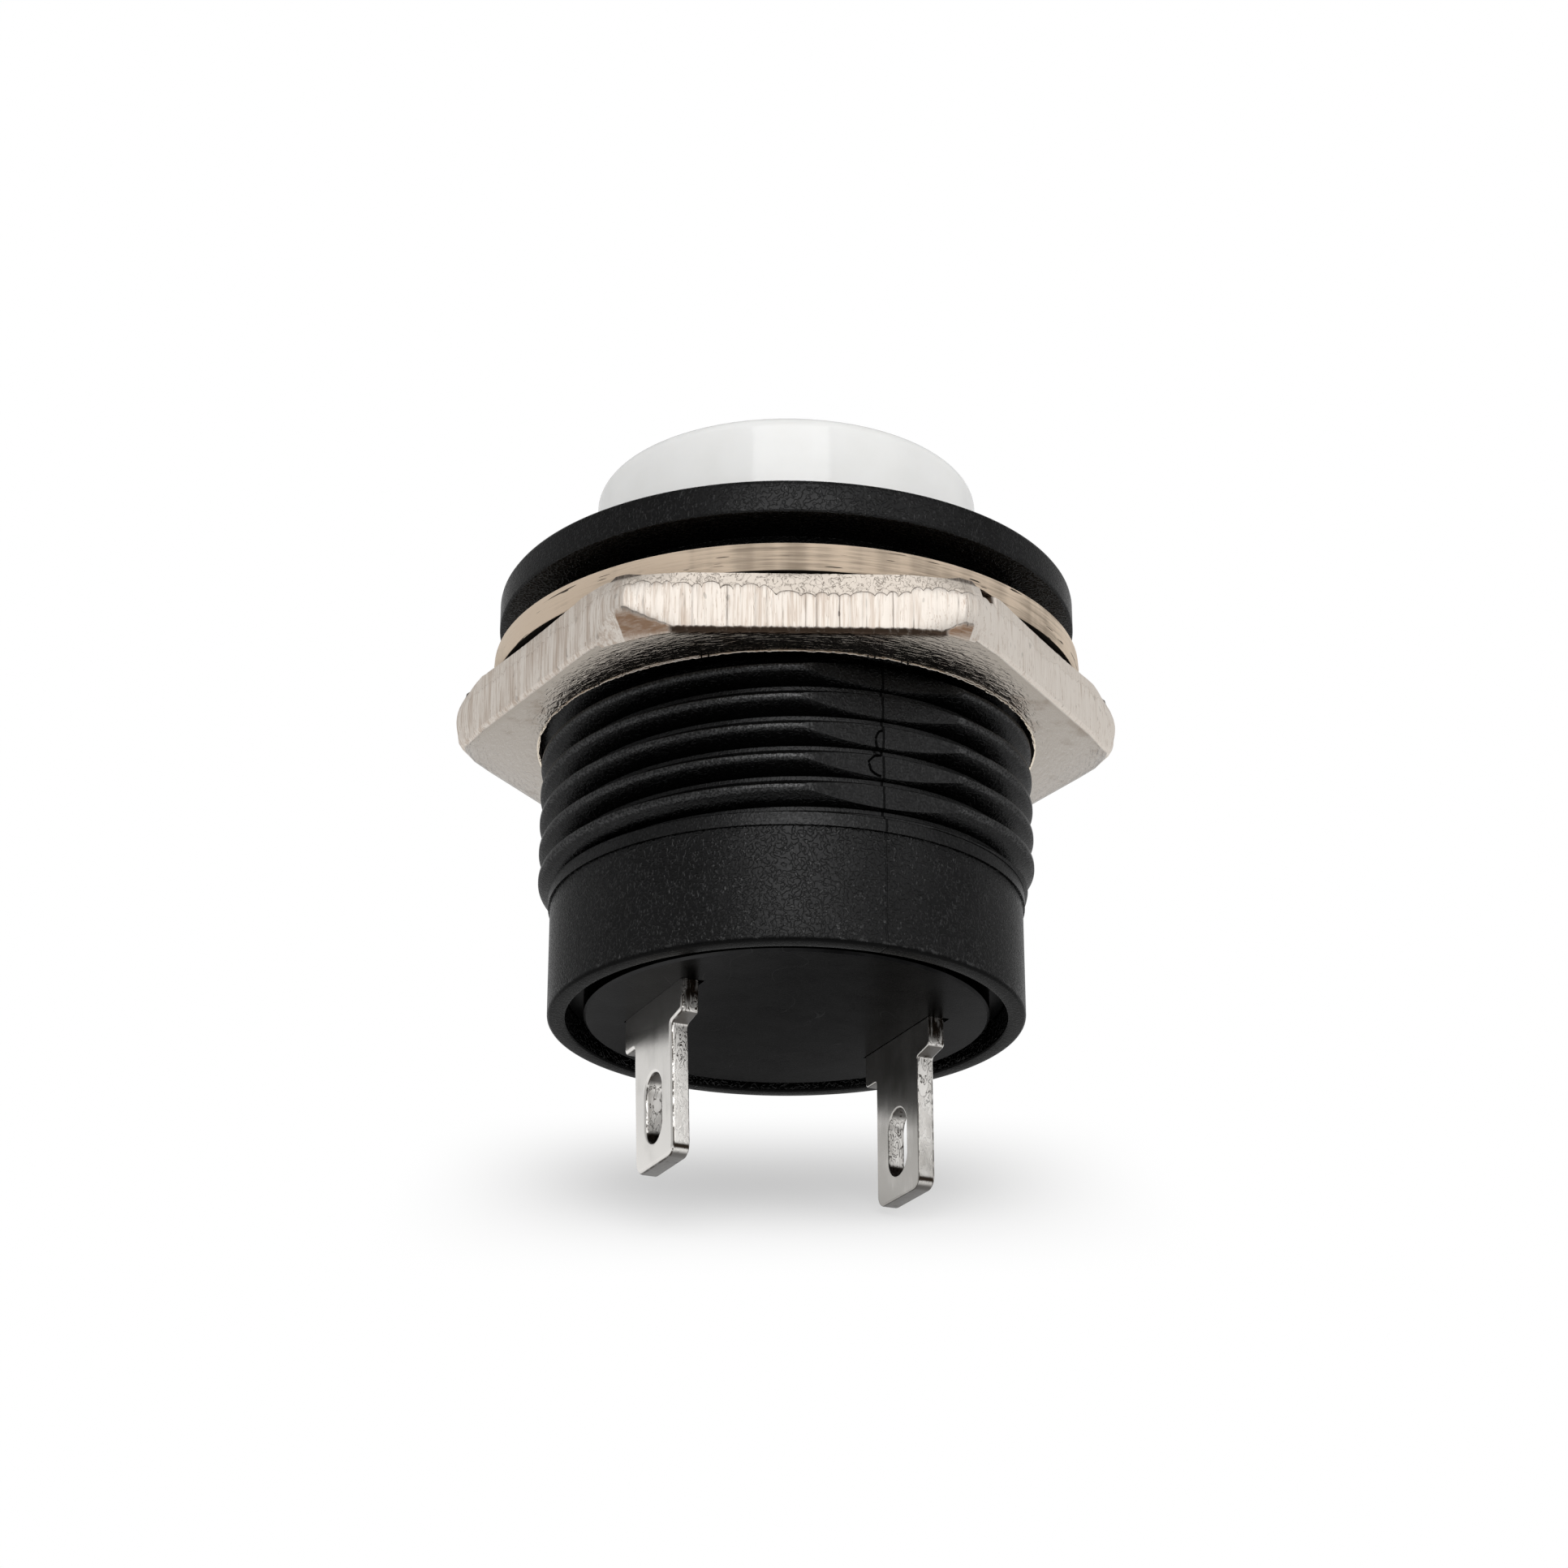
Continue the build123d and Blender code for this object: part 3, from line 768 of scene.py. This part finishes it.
        # rolled upper edge and upper face, marked dark as painted shade where they meet the washer, and bore
        shoulder = onSide(0, high).length
        rim = min(n["upperCut"], shoulder - 0.05) - 0.05 - 1.2 * dip
        add(around * ((shoulder + rim) / 2 - 0.03), high + (n["top"] - high) * 0.55, 0.7, 0.9)
        add(around * rim, n["top"], 0.3, 0.9)
        add(around * n["bore"], n["top"])
        columns.append(column)
    addSkin(shape, columns)
    addBurrs(shape)
    piece = makePiece("panel_nut", shape, finish, "nut", sharpAngle=32)
    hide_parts("hex_nut")


def addBurrs(shape):  # round the bore, broken here and there and doubled for a stretch
    n = nut
    for first, last, offset, share in n["burrs"]:
        burr = []
        steps = int((last - first) * n["burrPerDegree"])
        for step in range(steps + 1):
            turn = math.radians(first + step / n["burrPerDegree"])
            sway = noise.noise((math.cos(turn) * 14, math.sin(turn) * 14, offset * 30))
            jag = noise.noise((math.cos(turn) * 60, math.sin(turn) * 60, offset * 30))
            out = n["bore"] + offset + 0.035 * sway + 0.02 * jag
            burr.append(spotAt(out, turn, n["bottom"] - 0.012 + 0.02 * jag))
            if (sway < n["burrGap"] or step == steps) and len(burr) > 3:
                addTube(shape, burr, n["burrWire"] * share, 6)
                burr = []


buildNut(nutFinish())

# Solder tabs: stamped bright plating, smooth on the faces and torn on the cut edges
tab = {
    "spacing": 8.49, "thickness": 0.6, "rolledEdge": 0.12, "sharpEdge": 0.05,
    "rootHalf": 2.25, "rootCorner": 0.05, "bladeHalf": 1.45, "top": -11.3,
    "earNear": -14.13, "earNearCorner": 0.16, "earFar": -14.27, "earFarCorner": 0.2,
    "neckLevel": -14.27, "neckCorner": 0.1, "tip": -18.598, "tipCorner": 0.42,
    "slotLevel": -16.75, "slotLength": 2.2, "slotWidth": 1.26,
    "padEnd": 2.745, "padCorner": 0.1, "rivetInset": 0.55, "rivetHole": 0.42,
    "shift": {-1: -0.075, 1: -0.05}, "lean": {-1: 0.028, 1: 0.0}, "earDrop": {-1: 0.16, 1: 0.07},
}
tabPlate = {
    "tint": (0.74, 0.72, 0.69, 1), "shade": (0.40, 0.385, 0.36, 1), "torn": (0.30, 0.27, 0.24, 1),
    "mark": (0.03, 0.022, 0.016, 1), "tip": (0.08, 0.075, 0.07, 1), "rough": 0.22, "depth": 0.025,
    "rootLevels": (-16.1, -15.3), "plateShadeLevels": (-14.35, -13.7), "bendLevels": (-17.9, -17.6),
    "paintedTabShadeLevels": (-17.6, -14.6), "slotHalf": (0.62, 0.8),
}


def tabFinish():
    p = tabPlate
    finish, shader, root, place = startFinish("tabPlate", {"Metallic": 1.0})
    normal = root.node("TexCoord", out="Normal")
    facing, upright = abs(normal.part("X")), normal.part("Z")
    beside, level = place.part("Y"), place.part("Z")
    under = upright * -1
    down = under.step(0.6, 0.85)
    sheared = 1 - facing.step(0.25, 0.45)
    cloud = place.grain(0.8, 2.0, 0.5)
    brushed = (place * (9.0, 9.0, 0.7)).grain(1.0, 2.0, 0.6)
    scribble = (place * (3.6, 3.6, 1.5)).grain(1.0, 2.0, 0.6, 1.8)
    line = scribble.band(0.5, 0.008, 0.03)
    rooted = level.step(*p["rootLevels"])
    inSlot = 1 - abs(beside).step(*p["slotHalf"])
    torn = line * sheared * (0.28 + rooted * 0.6 + inSlot * 0.5) * (1 - down)
    # brown along the rolled edges; painted shade, near black, where the cut edge turns under at the tip and
    # at the foot of the slot
    rolled = facing.step(0.22, 0.36) * (1 - facing.step(0.55, 0.75))
    rim = rolled * place.grain(4.5, 2.0, 0.6).step(0.36, 0.56)
    bend = under.step(0.12, 0.3) * (1 - under.step(0.4, 0.6)) * sheared * (1 - level.step(*p["bendLevels"]))
    slotFootShade = upright.step(0.1, 0.4) * sheared * inSlot
    streak = (place * (11.0, 11.0, 1.4)).grain(1.0, 2.0, 0.6).step(0.4, 0.55)
    # painted shade on the ears' cut edges near the plate, streaked
    plateShade = level.step(*p["plateShadeLevels"]) * sheared * (0.35 + 0.65 * streak) * (1 - down)
    fleck = place.grain(4.2, 1.0, 0.5).step(0.68, 0.73) * down
    # the right tab is painted darker, most of all towards its tip, and the left one lighter: painted shade
    # and painted light
    onRight = place.part("X").step(-1.0, 1.0)
    paintedTabShade = onRight * (0.2 + 0.35 * (1 - level.step(*p["paintedTabShadeLevels"]))) - 0.22
    clean = (cloud * 0.8 + brushed * 0.2 + sheared * 0.3 - paintedTabShade).step(0.2, 0.75)
    cutEdge = (scribble.step(0.5, 0.62) * 0.2 * sheared).tint(clean.tint(p["shade"], p["tint"]), p["torn"])
    # faces that look down, the tips' ends most of all, are painted near black: painted shade
    below = (down * 0.92).tint(cutEdge, p["tip"])
    dark = torn + rim * 0.8 + bend + slotFootShade + plateShade + fleck * 0.8
    relief = scribble * sheared * 0.3 - torn * 0.4 + brushed * (1 - sheared) * 0.01 - fleck * 0.3
    feed(root, shader, {
        "Base Color": dark.step(0.0, 1.0).tint(below, p["mark"]),
        "Roughness": p["rough"] + brushed * 0.04 + sheared * (0.06 + scribble * 0.06),
        "Normal": bumped(root, relief, p["depth"]),
    })
    return finish


def addSheet(shape, loops, thickness, edges, place):
    # loops of (across, along), the outline first and holes after it
    layers = []
    for edge, side in zip(edges, (1, -1)):
        ring = [(side * thickness / 2, edge + 0.03), (side * thickness / 2, edge)]
        for bend in map(math.radians, (22, 45, 68, 90)):
            ring.append((side * (thickness / 2 - edge * (1 - math.cos(bend))), edge * (1 - math.sin(bend))))
        layers += ring[::side]
    ends = ([], [])
    for number, loop in enumerate(loops):
        area = sum(a.x * b.y - b.x * a.y for a, b in zip(loop, loop[1:] + loop[:1]))
        if (area > 0) == (number > 0):
            loop = loop[::-1]
        leans = []
        for index, here in enumerate(loop):
            before = (here - loop[index - 1]).normalized()
            after = (loop[(index + 1) % len(loop)] - here).normalized()
            lean = Vector((-before.y - after.y, before.x + after.x)).normalized()
            leans.append(lean / max(0.3, lean.dot(Vector((-before.y, before.x)))))
        rings = []
        for depth, inset in layers:
            spots = [place(*(here + lean * inset), depth) for here, lean in zip(loop, leans)]
            rings.append([shape.verts.new(spot) for spot in spots])
        joinRings(shape, rings)
        for end, ring in zip(ends, (rings[0], rings[-1])):
            end += [shape.edges.get((ring[index - 1], ring[index])) for index in range(len(ring))]
    for end in ends:
        bmesh.ops.triangle_fill(shape, edges=end, use_beauty=True)


def roundLoop(x, y, radius, straight=0.0):
    loop = []
    steps = 36
    for step in range(steps):
        angle = 2 * math.pi * (step + 0.5) / steps
        lift = straight / 2 if math.sin(angle) > 0 else -straight / 2
        loop.append(Vector((x + radius * math.cos(angle), y + radius * math.sin(angle) + lift)))
    return loop


def buildTab(side, nodeName, finish):
    t = tab
    drop = t["earDrop"][side]
    blade = roundedPath([
        (t["rootHalf"], t["top"], t["rootCorner"]),
        (-t["rootHalf"], t["top"], t["rootCorner"]),
        (-t["rootHalf"], t["earNear"] - drop, t["earNearCorner"]),
        (-t["bladeHalf"], t["neckLevel"] - drop, t["neckCorner"]),
        (-t["bladeHalf"], t["tip"], t["tipCorner"]),
        (t["bladeHalf"], t["tip"], t["tipCorner"]),
        (t["bladeHalf"], t["neckLevel"] - drop, t["neckCorner"]),
        (t["rootHalf"], t["earFar"] - drop, t["earFarCorner"]),
    ], 6)
    slot = roundLoop(0, t["slotLevel"], t["slotWidth"] / 2, t["slotLength"] - t["slotWidth"])
    shape = bmesh.new()
    middle = side * t["spacing"] / 2
    edges = (t["sharpEdge"], t["rolledEdge"])[::-side]  # the rolled face looks outwards

    def onBlade(across, level, depth):
        sway = t["shift"][side] + t["lean"][side] * max(0, t["neckLevel"] - level)
        return middle + depth + sway, across, level

    addSheet(shape, [blade, slot], t["thickness"], edges, onBlade)
    # pad bent inwards over the plate, with the rivet's hole
    pad = roundedPath([
        (side * t["padEnd"], -t["rootHalf"], t["padCorner"]),
        (middle, -t["rootHalf"], t["rootCorner"]),
        (middle, t["rootHalf"], t["rootCorner"]),
        (side * t["padEnd"], t["rootHalf"], t["padCorner"]),
    ], 3)
    hole = roundLoop(middle - side * t["rivetInset"], 0, t["rivetHole"])
    padMiddle = t["top"] - t["thickness"] / 2
    addSheet(shape, [pad, hole], t["thickness"], (t["sharpEdge"],) * 2, lambda u, v, w: (u, v, padMiddle + w))
    piece = makePiece(nodeName + "_tab", shape, finish, "housing", sharpAngle=32)
    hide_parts(nodeName)


brightFinish = tabFinish()
buildTab(-1, "terminal_left", brightFinish)
buildTab(1, "terminal_right", brightFinish)

# Springs with closed end coils, and the other metal inside
springs = {
    "return_spring": {"low": -3.09, "high": 3.92, "radius": 3.65, "wire": 0.5, "turns": 5, "body": "housing",
                      "anchor": moulding["webTop"], "keep": 0.715},
    "contact_spring": {"low": -8.98, "high": -5.57, "radius": 1.75, "wire": 0.3, "turns": 4, "body": "button",
                       "anchor": -5.55, "keep": 0.849},
}
metals = {  # tint, shade, roughness and scale
    "wireSteel": ((0.62, 0.62, 0.63, 1), (0.42, 0.42, 0.43, 1), 0.22, 3.0),
    "contactBrass": ((0.76, 0.58, 0.30, 1), (0.60, 0.43, 0.20, 1), 0.24, 1.2),
    "contactSilver": ((0.86, 0.85, 0.83, 1), (0.72, 0.71, 0.69, 1), 0.16, 2.0),
}


def metalFinish(name):
    tint, shade, rough, scale = metals[name]
    finish, shader, root, place = startFinish(name, {"Metallic": 1.0})
    cloud = place.grain(scale, 3.0, 0.6)
    fine = place.grain(scale * 9, 2.0, 0.6)
    feed(root, shader, {
        "Base Color": (cloud * 0.7 + fine * 0.3).step(0.3, 0.65).tint(shade, tint),
        "Roughness": rough + fine * 0.15,
        "Normal": bumped(root, cloud * 0.4 + fine * 0.3, 0.01),
    })
    return finish


def buildSpring(nodeName, finish):
    s = springs[nodeName]
    start, end = s["low"] + s["wire"] / 2, s["high"] - s["wire"] / 2
    free = end - start - 2 * s["wire"]
    total = s["turns"] + 2
    steps = total * 32
    points = []
    for step in range(steps + 1):
        turns = total * step / steps
        climb = min(turns, 1) * s["wire"] + min(max(turns - total + 1, 0), 1) * s["wire"]
        level = start + climb + free * min(max((turns - 1) / s["turns"], 0), 1)
        points.append(spotAt(s["radius"], 2 * math.pi * turns, level))
    shape = bmesh.new()
    addTube(shape, points, s["wire"] / 2, 10)
    piece = makePiece(nodeName + "_coil", shape, finish, s["body"], sharpAngle=40)
    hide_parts(nodeName)
    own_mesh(piece)


wireFinish = metalFinish("wireSteel")
for nodeName in springs:
    buildSpring(nodeName, wireFinish)
for nodeName in ("stop_ring", "disc_clip"):
    dress(nodeName, wireFinish)
dress("contact_disc", metalFinish("contactBrass"))
silverFinish = metalFinish("contactSilver")
for nodeName in ("fixed_contact_left", "fixed_contact_right"):
    dress(nodeName, silverFinish)

# Camera at the photograph's place, below the switch and looking up
shot = {
    "place": (-44.207, -94.616, -49.295), "forward": (0.3892, 0.8346, 0.3898), "lens": 79.66, "nearest": 1,
}
cameraData = bpy.data.cameras.new("shotCamera")
cameraData.lens = shot["lens"]
cameraData.clip_start = shot["nearest"] * mm
camera = addObject("shotCamera", cameraData)
forward = Vector(shot["forward"]).normalized()
right = forward.cross(Vector((0, 0, 1))).normalized()
above = right.cross(forward)
aimed = Matrix((right, above, -forward)).transposed().to_4x4()
camera.matrix_world = Matrix.Translation(Vector(shot["place"]) * mm) @ aimed
scene.camera = camera

# Floor, tilted so that the low camera looks down on it, and seen from its upper side only
stage = {
    "tilt": 4.6, "drop": 18.0, "radius": 45, "tint": (0.9, 0.9, 0.9, 1), "glow": 0.43,
    "fadeAside": (4.0, 13.5), "fadeDepth": (0.0, 14.5), "shadowOf": (0.9, 2.0, -6.5),
}
tilt = math.radians(stage["tilt"])
floorNormal = above * math.cos(tilt) - forward * math.sin(tilt)


def mirrorRays(root):  # 1 for what metal and glass see, and for what the camera sees
    light = root.node("LightPath", out="Is Glossy Ray")
    return (light + light.side("Is Transmission Ray")).step(0, 1), light.side("Is Camera Ray")


def floorFinish():
    finish, shader, root, place = startFinish("paleFloor", {})
    nodes = root.tree.nodes
    nodes.remove(shader)
    matt = root.node("BsdfDiffuse", {}, {"Color": stage["tint"]})
    glow = root.node("Emission", {}, {"Color": white, "Strength": 1.0})
    aside, depth = abs(place.part("X")), abs(place.part("Y"))
    shaded = (1 - aside.step(*stage["fadeAside"])) * (1 - depth.step(*stage["fadeDepth"]))
    mirrored, direct = mirrorRays(root)
    seen = (mirrored + direct).step(0, 1)
    lit = (seen * (1 - (1 - stage["glow"]) * shaded)).blend(matt, glow)
    oneSided = root.node("NewGeometry", out="Backfacing").blend(lit, root.node("BsdfTransparent"))
    root.tree.links.new(oneSided.socket, nodes["Material Output"].inputs["Surface"])
    return finish


def buildFloor():
    shape = bmesh.new()
    bmesh.ops.create_circle(shape, cap_ends=True, segments=96, radius=stage["radius"] * mm)
    mesh = meshOf("floor", shape)
    mesh.materials.append(floorFinish())
    floor = addObject("floor", mesh)
    middle = Vector(stage["shadowOf"])
    spot = (middle - floorNormal * (middle.dot(floorNormal) + stage["drop"])) * mm
    floor.matrix_world = Matrix.LocRotScale(spot, floorNormal.to_track_quat("Z", "Y"), None)


buildFloor()

# World: white for the eye; in reflections a dimmer room in front and bright walls at both sides
room = {
    "front": 0.57, "sides": 1.0, "back": 0.76, "ceiling": 0.42, "soft": 0.88, "zenith": 0.3,
    "sidesFrom": (-0.1, 0.5), "backFrom": (0.45, 0.7), "ceilingFrom": (0.5, 0.8), "zenithFrom": (0.1, 0.8),
}


def buildWorld():
    world = bpy.data.worlds.new("whiteRoom")
    world.use_nodes = True
    scene.world = world
    tree = world.node_tree
    tree.nodes.remove(tree.nodes["Background"])
    root = Wire(tree)
    mirrored, direct = mirrorRays(root)
    heading = root.node("TexCoord", out="Generated")
    behind = heading.along(Vector((forward.x, forward.y, 0)).normalized())
    height = heading.part("Z")

    def backdrop(strength):
        return root.node("Background", {}, {"Color": white, "Strength": strength})

    walls = behind.step(*room["sidesFrom"]).blend(backdrop(room["front"]), backdrop(room["sides"]))
    walls = behind.step(*room["backFrom"]).blend(walls, backdrop(room["back"]))
    inside = height.step(*room["ceilingFrom"]).blend(walls, backdrop(room["ceiling"]))
    soft = height.step(*room["zenithFrom"]).blend(backdrop(room["soft"]), backdrop(room["zenith"]))
    seen = direct.blend(mirrored.blend(soft, inside), backdrop(1.0))
    tree.links.new(seen.socket, tree.nodes["World Output"].inputs["Surface"])


buildWorld()

# Soft lamps, placed by degrees round from the camera's side and up from the level
lamps = {
    "frontBox": {"turn": 3, "lift": 22, "reach": 250, "size": (180, 180), "power": 0.23},
    "rightBox": {"turn": 50, "lift": 24, "reach": 250, "size": (160, 200), "power": 0.06},
}
lampsAim = (0, 0, -7)
sky = {"power": 0.15, "spread": 60.0, "lean": 8.0, "reach": 500}  # from over the floor, for the soft shadow


def placeLamp(data, spot, away):
    lamp = addObject(data.name, data)
    lamp.matrix_world = Matrix.LocRotScale(spot, (-away).to_track_quat("-Z", "Y"), None)


def buildLamps():
    ahead = Vector((-forward.x, -forward.y, 0)).normalized()
    for name, lamp in lamps.items():
        turn, lift = math.radians(lamp["turn"]), math.radians(lamp["lift"])
        away = Matrix.Rotation(turn, 3, "Z") @ ahead * math.cos(lift) + Vector((0, 0, math.sin(lift)))
        data = bpy.data.lights.new(name, "AREA")
        data.shape = "RECTANGLE"
        data.size, data.size_y = (side * mm for side in lamp["size"])
        data.energy = lamp["power"]
        placeLamp(data, (Vector(lampsAim) + away * lamp["reach"]) * mm, away)
    data = bpy.data.lights.new("sky", "SUN")
    data.energy = sky["power"]
    data.angle = math.radians(sky["spread"])
    away = Matrix.Rotation(math.radians(sky["lean"]), 3, right) @ floorNormal
    placeLamp(data, away * sky["reach"] * mm, away)


buildLamps()
print("stage, camera and lamps set")

scene.view_settings.view_transform = "Standard"
